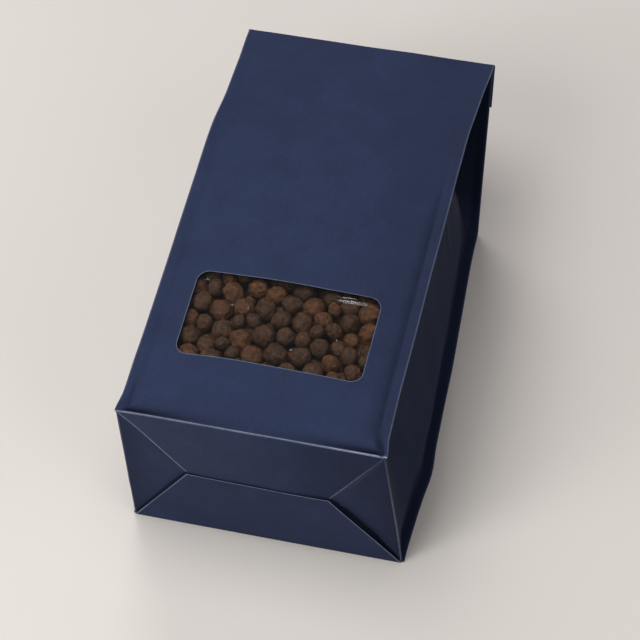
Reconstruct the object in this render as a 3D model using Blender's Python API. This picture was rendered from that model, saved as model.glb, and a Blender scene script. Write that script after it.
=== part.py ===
"""Flat bottom pet food bag, filled and sealed, lying on its back.

Metres, +Z up. X runs across the bag, +Y from the base to the folded top, and the floor is Z = 0.
The origin is on the floor, under the middle of the bag's length and width.
"""
import math

import bmesh
import bpy
import numpy as np
from mathutils import Vector

for leftover in list(bpy.data.objects):
    bpy.data.objects.remove(leftover, do_unlink=True)

# Driving dimensions of the bag
BAG_WIDTH = 0.150            # front panel, from fin edge to fin edge
BAG_LENGTH = 0.2822          # base to the fold at the top
BAG_DEPTH = 0.1187           # base, from the floor to its front edge
TOP_HEIGHT = 0.1028          # the fold at the top, over the floor
PAPER = 0.0006               # wall of the laminated paper
FIN_WIDTH = 0.0055           # sealed fin along each long edge
FIN_THICKNESS = 0.0012       # the two plies of a fin
FIN_START = 0.014            # the fins run out into the base's corners over this length
FIN_LEAST = 0.08             # share of a fin's width that is left in the corner
GUSSET_WIDTH = BAG_DEPTH     # one side gusset, across its crease: it folds open to the base's depth

# Where the filled body changes its shape
TOP_SLOPE_LENGTH = 0.0857    # the front panel slopes down to the fold over this length
GUSSET_TURN = 0.0255         # above the kibble the gussets turn inward over this length
BACK_SLOPE = math.radians(64.3)   # the back panel's climb from the floor to the fold

# Fullness of the filled body
FRONT_SWELL = 0.0030         # the fins of the front panel rise by this over the base's edge
CROWN = 0.0042               # the middle of the front panel over its fins
CROWN_START = 0.045          # the crown has reached its full height
WAIST = 0.0014               # the front fins draw in behind the base's corners
WAIST_START = 0.012          # the waist is reached
FLOOR_SPREAD = 0.0042        # the back corners of the base reach out past the front ones
BACK_SPREAD = 0.0056         # the widest place of the back, over half of the bag's width
BACK_SPREAD_AT = 0.060       # where the back is widest
BACK_WAIST = 0.0012          # the back draws in where it leaves the floor
CREASE_SPREAD = 0.0064       # the gusset's crease, at its widest
CREASE_SPREAD_AT = 0.035     # where it is widest
CREASE_HEIGHT = 0.0610       # the crease over the floor along the filled body
CREASE_START_HEIGHT = 0.0385  # the crease over the floor at the base

# Block bottom
FLAP_PLY = PAPER             # the lower flap lies this much proud, the side triangles this much sunk
FLAP_POINT = 0.0335          # the tip of a side triangle, from the bag's side
FLAP_SHIFT = -0.0020         # the two flaps meet a little to the left
FLAP_HEIGHT = BAG_DEPTH / 2  # the lower flap's free edge over the floor
BOTTOM_PLIES = 0.0020        # all the plies of the folded bottom

# Top end, folded over to the back
TOP_FLAP_LENGTH = 0.0285
TOP_FLAP_THICKNESS = 0.0014
TOP_FLAP_GAP = 0.0006        # between the flap and the back panel
TOP_SEAL = 0.0050            # the body is closed over this length below the fold
CREST_WELD = 0.0030          # the flap leaves the back panel this far below the fold
CAVITY_END = 0.0085          # the inside ends this far below the fold
CREST_SEAT = 0.0075          # the crest is rooted in the body this far below the fold
OVERLAP = 0.00015            # joined solids reach into each other by this

# Window
WINDOW_WIDTH = 0.1050
WINDOW_LENGTH = 0.0546
WINDOW_START = 0.0393        # its lower edge, from the base
WINDOW_SHIFT = -0.0008       # its middle, from the bag's middle
WINDOW_RADIUS = 0.0068
WINDOW_CORNER_STEPS = 6
FILM_MARGIN = 0.0060         # the film reaches this far behind the paper
FILM_THICKNESS = 0.0003
CLEARANCE = 0.0003           # between two pieces that touch

# Kibble
KIBBLE_DIAMETER = 0.0132
KIBBLE_SMALLEST = 0.62       # share of the diameter
KIBBLE_PITCH = 0.86          # share of the diameter between neighbours
KIBBLE_STAGGER = 0.5         # share of the pitch that every other row is shifted
KIBBLE_WANDER = 0.16         # share of the pitch that a kibble lies off its place
KIBBLE_DEPTH = 0.22          # share of the diameter that the lowest kibbles lie deeper
KIBBLE_SEED = 7
KIBBLE_GRID = 0.0021         # pitch of the surface under the window

# Steps of the solids
STATION_STEP = 0.0125
TOP_STEP = 0.0065            # above the kibble, where the gussets fold in
GUSSET_STEPS = 3
PANEL_STEPS = 5
CORNER_LEAST = 0.3           # keeps the inside's corners short where the gussets are folded sharply

# The inside starts behind the plies of the base
BOTTOM = FLAP_PLY + BOTTOM_PLIES
# The folded flap lies outside the back panel, which leaves the floor here to pass behind it
FLAP_ROOM = (TOP_FLAP_THICKNESS + TOP_FLAP_GAP) / math.cos(BACK_SLOPE)
BACK_RISE = BAG_LENGTH - (TOP_HEIGHT + FLAP_ROOM) / math.tan(BACK_SLOPE)
# The kibble ends where the gussets start to turn inward
FILL_END = BACK_RISE - GUSSET_TURN
# The shoulder of the front panel
SHOULDER = BAG_LENGTH - TOP_SLOPE_LENGTH


def place(distance):
    """Y of a point that lies this far from the base."""
    return distance - BAG_LENGTH / 2


def ease(x, start, end):
    """0 before start and 1 after end, with a smooth change between them."""
    t = min(max((x - start) / (end - start), 0.0), 1.0)
    return t * t * (3 - 2 * t)


def front_height(s):
    """Height of the front fins: a slight rise, then the slope from the shoulder to the fold."""
    body = BAG_DEPTH + FRONT_SWELL * ease(s, 0.0, CROWN_START)
    if s <= SHOULDER:
        return body
    share = (s - SHOULDER) / (BAG_LENGTH - SHOULDER)
    return body + (TOP_HEIGHT - body) * share


def back_height(s):
    """Height of the back panel: on the floor, then straight up to the fold."""
    return max(s - BACK_RISE, 0.0) * math.tan(BACK_SLOPE)


def front_half_width(s):
    """Half width at the tips of the front fins."""
    drawn_in = WAIST * ease(s, 0.0, WAIST_START) * (1 - ease(s, SHOULDER, BAG_LENGTH))
    return BAG_WIDTH / 2 - drawn_in


def back_half_width(s):
    """Half width at the tips of the back fins."""
    spread = FLOOR_SPREAD + (BACK_SPREAD - FLOOR_SPREAD) * ease(s, 0.0, BACK_SPREAD_AT)
    spread -= (BACK_SPREAD + BACK_WAIST) * ease(s, BACK_SPREAD_AT, BACK_RISE)
    spread += BACK_WAIST * ease(s, BACK_RISE, BAG_LENGTH)
    return BAG_WIDTH / 2 + spread


def fin_width(s):
    """The fins run out into the corners of the base."""
    return FIN_WIDTH * (FIN_LEAST + (1 - FIN_LEAST) * min(s / FIN_START, 1.0))


def crown(s):
    """How far the middle of the front panel stands over its fins."""
    return CROWN * ease(s, 0.0, CROWN_START) * (1 - ease(s, SHOULDER - CROWN_START, BACK_RISE))


def panel_height(x, s):
    """Height of the front panel's outer face."""
    reach = front_half_width(s) - fin_width(s)
    share = min(abs(x) / reach, 1.0)
    return front_height(s) + crown(s) * (1 - share ** 2)


def crease(s):
    """The gusset's crease: it stands out along the filled body and folds inward above it."""
    low, high = back_height(s), front_height(s)
    body = CREASE_START_HEIGHT + (CREASE_HEIGHT - CREASE_START_HEIGHT) * ease(s, 0.0, CREASE_SPREAD_AT)
    height = body + ((low + high) / 2 - body) * ease(s, FILL_END, BACK_RISE)
    front, back = front_half_width(s), back_half_width(s)
    side = back + (front - back) * (height - low) / (high - low)
    out = CREASE_SPREAD * ease(s, 0.0, CREASE_SPREAD_AT) * (1 - ease(s, CREASE_SPREAD_AT, FILL_END))
    half_gap = (high - low) / 2
    fold_in = math.sqrt(max((GUSSET_WIDTH / 2) ** 2 - half_gap ** 2, 0.0))
    return side + out - fold_in * ease(s, FILL_END, BACK_RISE), height


def gusset(s, top, bottom):
    """Points of a side gusset from its top root, round its crease, to its bottom root."""
    corner = crease(s)
    points = []
    for start, end in ((top, corner), (corner, bottom)):
        for step in range(GUSSET_STEPS):
            t = step / GUSSET_STEPS
            points.append((start[0] + (end[0] - start[0]) * t, start[1] + (end[1] - start[1]) * t))
    points.append(bottom)
    return points


def front_points(s):
    """Points of the front panel's right half, from the middle to the groove beside the fin."""
    reach = front_half_width(s) - fin_width(s)
    xs = [reach * step / PANEL_STEPS for step in range(PANEL_STEPS)]
    return [(x, panel_height(x, s)) for x in xs]


def outer_half(s):
    """Right half of the outer outline at one station, with its fins."""
    high, low = front_height(s), back_height(s)
    front, back = front_half_width(s), back_half_width(s)
    points = front_points(s)
    fin = fin_width(s)
    points += [(front - fin, high), (front, high), (front, high - FIN_THICKNESS)]
    points += gusset(s, (front - fin, high - FIN_THICKNESS), (back - fin, low + FIN_THICKNESS))
    points += [(back, low + FIN_THICKNESS), (back, low), (0.0, low)]
    return points


def inner_half(s, wall, lowered=0.0):
    """Right half of an outline that lies inside the paper by a wall, its front lowered further."""
    high, low = front_height(s), back_height(s)
    root = front_half_width(s) - fin_width(s)
    foot = back_half_width(s) - fin_width(s)
    points = front_points(s) + gusset(s, (root, high), (foot, low)) + [(0.0, low)]
    loop = points + [(-x, z) for x, z in reversed(points[1:-1])]
    inside = inset(loop, wall)[:len(points)]
    inside[0, 0] = 0.0
    inside[-1, 0] = 0.0
    ceiling = [panel_height(x, s) - wall - lowered for x, z in inside]
    return [(float(x), float(min(z, top))) for (x, z), top in zip(inside, ceiling)]


def inset(loop, distance):
    """Moves each corner of a closed clockwise outline inward by a distance from both its sides."""
    points = np.array(loop)
    before = points - np.roll(points, 1, axis=0)
    after = np.roll(points, -1, axis=0) - points
    normals = []
    for edge in (before, after):
        edge = edge / np.linalg.norm(edge, axis=1)[:, None]
        normals.append(np.stack([edge[:, 1], -edge[:, 0]], axis=1))
    total = normals[0] + normals[1]
    opening = np.maximum(1 + (normals[0] * normals[1]).sum(axis=1), CORNER_LEAST)
    scale = distance / opening
    return points + total * scale[:, None]


def whole(half):
    """A closed outline from its right half, whose first and last points lie on the middle."""
    return half + [(-x, z) for x, z in reversed(half[1:-1])]


def stations(start, end):
    """Distances from the base at which a solid has an outline, the same for the paper and its contents."""
    marks = [0.0, BOTTOM, FIN_START, CREASE_SPREAD_AT, SHOULDER, FILL_END, BACK_RISE, BAG_LENGTH]
    between = []
    for low, high in zip(marks, marks[1:]):
        steps = math.ceil((high - low) / (STATION_STEP if low < FILL_END else TOP_STEP))
        between += [low + (high - low) * step / steps for step in range(steps)]
    return [start] + [s for s in between if start + CLEARANCE < s < end - CLEARANCE] + [end]


def new_object(name, mesh):
    item = bpy.data.objects.new(name, mesh)
    bpy.context.collection.objects.link(item)
    return item


def finish_mesh(name, bm):
    """Turns the faces of a closed bmesh outward and makes it a mesh."""
    bmesh.ops.recalc_face_normals(bm, faces=bm.faces)
    mesh = bpy.data.meshes.new(name)
    bm.to_mesh(mesh)
    bm.free()
    return mesh


def loft(name, outlines):
    """A closed solid through outlines of equal counts, each with its distance from the base."""
    bm = bmesh.new()
    rings = []
    for distance, points in outlines:
        rings.append([bm.verts.new((x, place(distance), z)) for x, z in points])
    count = len(rings[0])
    for lower, upper in zip(rings, rings[1:]):
        for i in range(count):
            j = (i + 1) % count
            bm.faces.new((lower[i], lower[j], upper[j]))
            bm.faces.new((lower[i], upper[j], upper[i]))
    bm.faces.new(rings[0])
    bm.faces.new(rings[-1])
    return new_object(name, finish_mesh(name, bm))


def prism(name, corners, direction):
    """A flat outline pushed along a direction."""
    bm = bmesh.new()
    first = [bm.verts.new(corner) for corner in corners]
    second = [bm.verts.new(Vector(corner) + Vector(direction)) for corner in corners]
    bm.faces.new(first)
    bm.faces.new(second)
    for i in range(len(first)):
        j = (i + 1) % len(first)
        bm.faces.new((first[i], first[j], second[j], second[i]))
    return new_object(name, finish_mesh(name, bm))


def combine(target, tool, operation):
    """Joins a tool to a body, or cuts it away, and removes the tool."""
    modifier = target.modifiers.new(operation.title(), "BOOLEAN")
    modifier.operation = operation
    modifier.solver = "EXACT"
    modifier.object = tool
    bpy.context.view_layer.objects.active = target
    bpy.ops.object.modifier_apply(modifier=modifier.name)
    bpy.data.objects.remove(tool, do_unlink=True)


def material(name, color, roughness, transmission=0.0):
    finish = bpy.data.materials.new(name)
    finish.use_nodes = True
    shader = finish.node_tree.nodes["Principled BSDF"]
    shader.inputs["Base Color"].default_value = (*color, 1.0)
    shader.inputs["Roughness"].default_value = roughness
    shader.inputs["Transmission Weight"].default_value = transmission
    return finish


def dress(item, finish, angle=math.radians(25)):
    """Gives a piece its material and shades it smooth between its folds."""
    item.data.materials.clear()
    item.data.materials.append(finish)
    item.data.shade_smooth()
    item.data.set_sharp_from_angle(angle=angle)


def body_shell():
    """The filled body with its four fins, from the base's upper flap to the closed top."""
    ends = stations(FLAP_PLY, BAG_LENGTH - TOP_SEAL)
    return loft("bag", [(s, whole(outer_half(s))) for s in ends])


def cavity():
    """The inside of the bag."""
    ends = stations(BOTTOM, BAG_LENGTH - CAVITY_END)
    return loft("cavity", [(s, whole(inner_half(s, PAPER))) for s in ends])


def flap_corners(distance):
    """The lower flap: the back edge of the base and the two tips where its free edge ends."""
    half = BAG_WIDTH / 2 + FLOOR_SPREAD
    tip = BAG_WIDTH / 2 - FLAP_POINT
    y = place(distance)
    tips = [(FLAP_SHIFT + tip, y, FLAP_HEIGHT), (FLAP_SHIFT - tip, y, FLAP_HEIGHT)]
    return [(-half, y, 0.0), (half, y, 0.0)] + tips


def side_triangle(side, distance):
    """One tucked side of the base: the front corner, the back corner and its tip, cut a little wide."""
    left_low, right_low, right_tip, left_tip = flap_corners(distance)
    low, tip = (left_low, left_tip) if side < 0 else (right_low, right_tip)
    front = (side * BAG_WIDTH / 2, tip[1], BAG_DEPTH)
    wide = side * (BAG_WIDTH / 2 + 2 * FLOOR_SPREAD)
    return [front, (wide, tip[1], BAG_DEPTH), (wide, tip[1], 0.0), low, tip]


def crest():
    """The fold at the top and the flap that lies over the back panel, as its side view pushed across."""
    down = Vector((0.0, -math.cos(BACK_SLOPE), -math.sin(BACK_SLOPE)))
    inward = Vector((0.0, -math.sin(BACK_SLOPE), math.cos(BACK_SLOPE)))
    fold = Vector((0.0, place(BAG_LENGTH), TOP_HEIGHT))
    seated = BAG_LENGTH - CREST_SEAT
    front_seat = Vector((0.0, place(seated), front_height(seated) - OVERLAP))
    middle = (front_height(seated) + back_height(seated)) / 2
    inside = Vector((0.0, place(seated), middle))
    corners = [
        front_seat,
        fold,
        fold + down * TOP_FLAP_LENGTH,
        fold + down * TOP_FLAP_LENGTH + inward * TOP_FLAP_THICKNESS,
        fold + down * CREST_WELD + inward * TOP_FLAP_THICKNESS,
        inside,
    ]
    half = BAG_WIDTH / 2 - OVERLAP
    return prism("crest", [corner + Vector((-half, 0, 0)) for corner in corners], (2 * half, 0, 0))


def window_outline():
    """Rounded rectangle of the window, seen from the front."""
    half_width = WINDOW_WIDTH / 2 - WINDOW_RADIUS
    half_length = WINDOW_LENGTH / 2 - WINDOW_RADIUS
    middle = place(WINDOW_START + WINDOW_LENGTH / 2)
    points = []
    for turn, (sx, sy) in enumerate(((1, 1), (-1, 1), (-1, -1), (1, -1))):
        for step in range(WINDOW_CORNER_STEPS + 1):
            angle = math.pi / 2 * (turn + step / WINDOW_CORNER_STEPS)
            x = WINDOW_SHIFT + sx * half_width + WINDOW_RADIUS * math.cos(angle)
            y = middle + sy * half_length + WINDOW_RADIUS * math.sin(angle)
            points.append((x, y))
    return points


def window_cutter():
    """Cuts the front wall alone: from below its inner face to above its outer one."""
    below = BAG_DEPTH - CROWN
    above = BAG_DEPTH + FRONT_SWELL + 2 * CROWN
    return prism("window", [(x, y, below) for x, y in window_outline()], (0, 0, above - below))


def build_bag():
    bag = body_shell()
    lower = prism("lower_flap", flap_corners(0.0), (0, FLAP_PLY + OVERLAP, 0))
    combine(bag, lower, "UNION")
    for side in (-1, 1):
        pocket = prism("pocket", side_triangle(side, FLAP_PLY - OVERLAP), (0, FLAP_PLY + OVERLAP, 0))
        combine(bag, pocket, "DIFFERENCE")
    combine(bag, crest(), "UNION")
    hollow = cavity()
    combine(hollow, window_cutter(), "UNION")
    combine(bag, hollow, "DIFFERENCE")
    dress(bag, material("navy_paper", (0.030, 0.040, 0.090), 0.62))
    return bag


def film_face(x, s, depth):
    """A point behind the front panel's inner face."""
    return (x, place(s), panel_height(x, s) - PAPER - depth)


def sheet_solid(name, xs, distances, top, bottom):
    """A closed slab over a grid, from a function for its top face and one for its bottom face."""
    bm = bmesh.new()
    layers = []
    for face in (top, bottom):
        layers.append([[bm.verts.new(face(x, s)) for x in xs] for s in distances])
    for layer in layers:
        for j in range(len(distances) - 1):
            for i in range(len(xs) - 1):
                bm.faces.new((layer[j][i], layer[j][i + 1], layer[j + 1][i + 1], layer[j + 1][i]))
    columns, rows = len(xs) - 1, len(distances) - 1
    rim = [(0, i) for i in range(columns)] + [(j, columns) for j in range(rows)]
    rim += [(rows, i) for i in range(columns, 0, -1)] + [(j, 0) for j in range(rows, 0, -1)]
    for (j0, i0), (j1, i1) in zip(rim, rim[1:] + rim[:1]):
        bm.faces.new((layers[0][j0][i0], layers[0][j1][i1], layers[1][j1][i1], layers[1][j0][i0]))
    return new_object(name, finish_mesh(name, bm))


def build_window_film():
    half_width = WINDOW_WIDTH / 2 + FILM_MARGIN
    xs = np.linspace(WINDOW_SHIFT - half_width, WINDOW_SHIFT + half_width, 11)
    distances = np.linspace(WINDOW_START - FILM_MARGIN, WINDOW_START + WINDOW_LENGTH + FILM_MARGIN, 7)
    film = sheet_solid(
        "window_film", xs, distances,
        lambda x, s: film_face(x, s, CLEARANCE),
        lambda x, s: film_face(x, s, CLEARANCE + FILM_THICKNESS),
    )
    dress(film, material("clear_film", (0.9, 0.9, 0.9), 0.12, transmission=1.0))
    return film


def kibble_places():
    """Middle, radius and depth of each kibble under the window, in staggered rows."""
    chance = np.random.RandomState(KIBBLE_SEED)
    pitch = KIBBLE_DIAMETER * KIBBLE_PITCH
    across = int(WINDOW_WIDTH / pitch) + 2
    along = int(WINDOW_LENGTH / pitch) + 2
    places = []
    for row in range(along):
        for column in range(across):
            shift = KIBBLE_STAGGER * (row % 2 - 0.5)
            x = WINDOW_SHIFT + (column - (across - 1) / 2 + shift) * pitch
            s = WINDOW_START + WINDOW_LENGTH / 2 + (row - (along - 1) / 2) * pitch
            wander = chance.uniform(-KIBBLE_WANDER, KIBBLE_WANDER, 2) * pitch
            size = chance.uniform(KIBBLE_SMALLEST, 1.0)
            depth = chance.uniform(0.0, KIBBLE_DEPTH) * KIBBLE_DIAMETER
            places.append((x + wander[0], s + wander[1], size * KIBBLE_DIAMETER / 2, depth))
    return places


def kibble_height(x, s, places, under):
    """How far the highest kibble stands over the fill's own level at one point."""
    best = 0.0
    for px, ps, radius, depth in places:
        far = radius ** 2 - (x - px) ** 2 - (s - ps) ** 2
        if far > 0:
            best = max(best, under - depth - radius + math.sqrt(far))
    return best


def build_kibble_fill():
    """The bulk of the kibble, with the pieces that show through the window standing out of it."""
    behind_film = 2 * CLEARANCE + FILM_THICKNESS
    under = KIBBLE_DIAMETER / 2
    start = BOTTOM + CLEARANCE
    wall = PAPER + 2 * CLEARANCE
    lowered = behind_film + under
    fill = loft("kibble_fill", [(s, whole(inner_half(s, wall, lowered))) for s in stations(start, FILL_END)])

    places = kibble_places()
    half_width = WINDOW_WIDTH / 2 + FILM_MARGIN
    columns = round(2 * half_width / KIBBLE_GRID)
    rows = round((WINDOW_LENGTH + 2 * FILM_MARGIN) / KIBBLE_GRID)
    xs = np.linspace(WINDOW_SHIFT - half_width, WINDOW_SHIFT + half_width, columns + 1)
    distances = np.linspace(WINDOW_START - FILM_MARGIN, WINDOW_START + WINDOW_LENGTH + FILM_MARGIN, rows + 1)

    def surface(x, s):
        level = panel_height(x, s) - PAPER - behind_film - under
        return (x, place(s), level + max(kibble_height(x, s, places, under), CLEARANCE))

    def buried(x, s):
        return (x, place(s), BAG_DEPTH - 2 * KIBBLE_DIAMETER)

    combine(fill, sheet_solid("kibble_top", xs, distances, surface, buried), "UNION")
    dress(fill, material("kibble", (0.120, 0.065, 0.035), 0.85), angle=math.radians(60))
    return fill


build_bag()
build_window_film()
build_kibble_fill()
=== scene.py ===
"""A filled flat bottom pet food bag on its back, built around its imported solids.

Metres, +Z up. X runs across the bag, +Y from its base to its folded top, and the floor is Z = 0.
"""

import math

import bmesh
import bpy
import numpy as np
from mathutils import Matrix, Vector


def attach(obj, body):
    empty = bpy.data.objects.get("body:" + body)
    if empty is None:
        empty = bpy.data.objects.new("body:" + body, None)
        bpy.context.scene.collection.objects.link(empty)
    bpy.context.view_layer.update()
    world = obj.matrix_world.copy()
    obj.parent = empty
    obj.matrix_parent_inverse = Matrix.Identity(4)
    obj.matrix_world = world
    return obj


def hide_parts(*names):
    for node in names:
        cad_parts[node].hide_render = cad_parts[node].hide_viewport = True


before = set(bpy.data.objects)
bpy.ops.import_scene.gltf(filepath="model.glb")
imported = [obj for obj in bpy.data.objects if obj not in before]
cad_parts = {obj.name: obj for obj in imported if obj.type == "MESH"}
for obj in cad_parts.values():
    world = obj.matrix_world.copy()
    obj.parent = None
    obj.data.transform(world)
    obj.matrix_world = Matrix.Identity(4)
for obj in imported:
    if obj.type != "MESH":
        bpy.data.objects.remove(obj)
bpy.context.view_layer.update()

# The camera
# It looks down on the bag from in front of its base and a little from its right, through a long lens.
EYE = (0.27255, -0.77095, 1.26666)
LOOK_RIGHT = (0.96926, 0.23655, -0.06770)
LOOK_UP = (-0.16303, 0.82350, 0.54338)
LOOK_AHEAD = (-0.18429, 0.51564, -0.83675)

lens = bpy.data.cameras.new("camera")
lens.sensor_width = 36
lens.lens = 140.625
camera = bpy.data.objects.new("camera", lens)
bpy.context.scene.collection.objects.link(camera)
camera.matrix_world = Matrix((
    (LOOK_RIGHT[0], LOOK_UP[0], -LOOK_AHEAD[0], EYE[0]),
    (LOOK_RIGHT[1], LOOK_UP[1], -LOOK_AHEAD[1], EYE[1]),
    (LOOK_RIGHT[2], LOOK_UP[2], -LOOK_AHEAD[2], EYE[2]),
    (0, 0, 0, 1),
))
bpy.context.scene.camera = camera
bpy.context.scene.view_settings.view_transform = "Standard"

# The light
# A soft studio light of large round lamps: two overhead, of which one is on the left so that the shade falls on
# the right, a high and a low one in front on the left for the base end, two weak ones on the right and one behind.
AIM = Vector((0, 0, 0.06))
LAMPS = (
    ("overhead_lamp", (0.00, 0.00, 1.70), 1.10, 9.1),
    ("left_lamp", (-0.45, 0.14, 1.74), 0.96, 6.4),
    ("front_lamp", (-0.60, -1.00, 1.30), 0.90, 8.6),
    ("low_front_lamp", (-0.82, -0.84, 0.50), 0.60, 5.0),
    ("front_right_lamp", (1.20, -0.95, 0.85), 0.70, 4.0),
    ("right_lamp", (1.20, -0.20, 1.23), 0.92, 2.0),
    ("back_lamp", (-0.56, 1.35, 1.00), 0.96, 10.9),
)
ROOM_COLOUR = "#eceef2"
ROOM_STRENGTH = 0.03


def linear(colour):
    """An sRGB hex colour as linear values."""
    parts = [int(colour[i:i + 2], 16) / 255 for i in (1, 3, 5)]
    parts = [c / 12.92 if c <= 0.04045 else ((c + 0.055) / 1.055) ** 2.4 for c in parts]
    return (*parts, 1.0)


for name, place, across, power in LAMPS:
    glow = bpy.data.lights.new(name, "AREA")
    glow.shape = "DISK"
    glow.size = across
    glow.energy = power
    lamp = bpy.data.objects.new(name, glow)
    bpy.context.scene.collection.objects.link(lamp)
    lamp.location = place
    lamp.rotation_euler = (AIM - lamp.location).to_track_quat("-Z", "Y").to_euler()

world = bpy.data.worlds.new("room")
world.use_nodes = True
world.node_tree.nodes["Background"].inputs["Color"].default_value = linear(ROOM_COLOUR)
world.node_tree.nodes["Background"].inputs["Strength"].default_value = ROOM_STRENGTH
bpy.context.scene.world = world

# The floor
# A smooth painted sheet, pale warm grey and quite matt, with no joint in sight.
FLOOR_SIZE = 8.0


def add(tree, kind, settings=None, **links):
    """Adds a node with its settings, and fills its inputs from values or from other nodes' outputs."""
    node = tree.nodes.new(kind)
    for name, value in (settings or {}).items():
        setattr(node, name, value)
    for name, value in links.items():
        key_name = int(name[1:]) if name[0] == "_" and name[1:].isdigit() else name.replace("_", " ")
        socket = node.inputs[key_name]
        if isinstance(value, bpy.types.NodeSocket):
            tree.links.new(value, socket)
        else:
            socket.default_value = value
    return node


def new_material(name):
    """An empty material and its shader, ready for its nodes."""
    material = bpy.data.materials.new(name)
    material.use_nodes = True
    return material, material.node_tree, material.node_tree.nodes["Principled BSDF"]


def clear_selection():
    if bpy.context.mode != "OBJECT":
        bpy.ops.object.mode_set(mode="OBJECT")
    bpy.ops.object.select_all(action="DESELECT")


clear_selection()
bpy.ops.mesh.primitive_plane_add(size=FLOOR_SIZE)
floor = bpy.context.object
floor.name = "floor"
floor_paint, tree, shader = new_material("matt_painted_floor")
place = add(tree, "ShaderNodeTexCoord")
cloud = add(tree, "ShaderNodeTexNoise", Vector=place.outputs["Object"], Scale=2.2, Detail=2.0)
tone = add(tree, "ShaderNodeValToRGB", Fac=cloud.outputs["Fac"])
tone.color_ramp.elements[0].position = 0.35
tone.color_ramp.elements[0].color = linear("#d4cdc8")
tone.color_ramp.elements[1].position = 0.65
tone.color_ramp.elements[1].color = linear("#d8d2cc")
tree.links.new(tone.outputs["Color"], shader.inputs["Base Color"])
shader.inputs["Roughness"].default_value = 0.75
shader.inputs["Specular IOR Level"].default_value = 0.3
floor.data.materials.append(floor_paint)

# The bag's web
# One web of heavy kraft paper, printed matt navy and laminated with a matt film. It is a flat sheet with a
# die cut window, folded round to a tube with two side gussets, and heat sealed along its four long edges
# into flat fins of two plies.
WIDTH = 0.150
LENGTH = 0.2822
DEPTH = 0.1187
TOP_HEIGHT = 0.1028
SHOULDER = 0.1965
FILL_END = 0.2050
BACK_SLOPE = math.radians(64.3)
BACK_RISE = 0.230505
FIN = 0.0055
FIN_THICKNESS = 0.0008
GUSSET = 0.1187
CUT_WIDTH = 0.1050
CUT_LENGTH = 0.0546
CUT_START = 0.0393
CUT_SHIFT = -0.0008
CUT_RADIUS = 0.0068
SHEET = 0.0005
FOLD_RADIUS = 0.0010

# Distances across the flat web, from the middle of the front panel to the middle of the back panel
PANEL_END = WIDTH / 2 - FIN
FIN_EDGE = WIDTH / 2
FIN_UNDER = FIN_EDGE + FIN_THICKNESS
GUSSET_START = FIN_UNDER + FIN
GUSSET_CREASE = GUSSET_START + GUSSET / 2
GUSSET_END = GUSSET_CREASE + GUSSET / 2
BACK_FIN_EDGE = GUSSET_END + FIN
BACK_FIN_UNDER = BACK_FIN_EDGE + FIN_THICKNESS
BACK_START = BACK_FIN_UNDER + FIN
BACK_MIDDLE = BACK_START + PANEL_END


def ease(x, start, end):
    """0 before start and 1 after end, with a smooth change between them."""
    t = np.clip((x - start) / (end - start), 0.0, 1.0)
    return t * t * (3 - 2 * t)


def front_height(s):
    body = DEPTH + 0.0030 * ease(s, 0.0, 0.038)
    share = (s - SHOULDER) / (LENGTH - SHOULDER)
    share = (share + np.sqrt(share ** 2 + 0.02)) / 2
    return body + (TOP_HEIGHT - body) * share / 1.005


def back_height(s):
    rise = np.maximum(s - BACK_RISE, 0.0) * math.tan(BACK_SLOPE)
    return np.minimum(rise, front_height(s) - 0.0024)


def front_half_width(s):
    narrow = 0.0014 * ease(s, 0.0, 0.012) * (1 - ease(s, SHOULDER, LENGTH))
    return WIDTH / 2 - narrow - 0.0008 * ease(s, 0.195, 0.225) * (1 - ease(s, 0.255, 0.280))


def back_half_width(s):
    spread = 0.0042 + 0.0020 * ease(s, 0.0, 0.060)
    spread = spread - 0.0070 * ease(s, 0.060, BACK_RISE)
    spread = spread + 0.0005 * ease(s, BACK_RISE, LENGTH)
    return WIDTH / 2 + spread


def fin_width(s):
    return FIN * (0.08 + 0.92 * np.minimum(s / 0.014, 1.0))


def ripple(x, y, length, seed):
    """A soft unevenness of about one, from a few long waves in fixed directions."""
    chance = np.random.RandomState(seed)
    total = 0.0
    for step in range(5):
        turn = chance.uniform(0, math.tau)
        stretch = length * chance.uniform(0.7, 1.5)
        phase = chance.uniform(0, math.tau)
        total = total + np.sin((x * math.cos(turn) + y * math.sin(turn)) * math.tau / stretch + phase)
    return total / 2.2


def along(x, y, start, end):
    """Distance of points from a line between two points, and how far along it they lie."""
    run = np.array(end) - np.array(start)
    span = np.hypot(*run)
    t = np.clip(((x - start[0]) * run[0] + (y - start[1]) * run[1]) / span ** 2, 0, 1)
    return np.hypot(x - start[0] - run[0] * t, y - start[1] - run[1] * t), t


def pinch(x, s):
    """How much the front panel is pinched in near its two lower corners: a hollow along the fold and a slanted dent."""
    total = 0.0
    for side in (-1, 1):
        corner = WIDTH / 2 - side * x
        hollow = np.exp(-(np.maximum(s - 0.0022, 0) / (0.0016 + 0.05 * np.clip(corner, 0, 0.04))) ** 2)
        hollow = hollow * ease(corner, 0.001, 0.006) * (0.15 + 0.95 * np.exp(-(corner / 0.036) ** 2)) * ease(s, 0.0008, 0.0022)
        slant, run = along(x, s, (side * (WIDTH / 2 - 0.0030), 0.0020), (side * (WIDTH / 2 - 0.0090), 0.0165))
        dent = (0.25, 0.80)[side > 0] * np.exp(-(slant / (0.0014 + 0.0016 * run)) ** 2) * (1 - run) ** 0.5
        beside, run = along(x, s, (side * (WIDTH / 2 - 0.0055), 0.004), (side * (WIDTH / 2 - 0.0068), 0.030))
        seal = 0.55 * np.exp(-(beside / 0.0013) ** 2) * (1 - run)
        total = total + np.maximum(np.maximum(hollow * (corner < WIDTH / 2), dent), seal)
    return total


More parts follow.
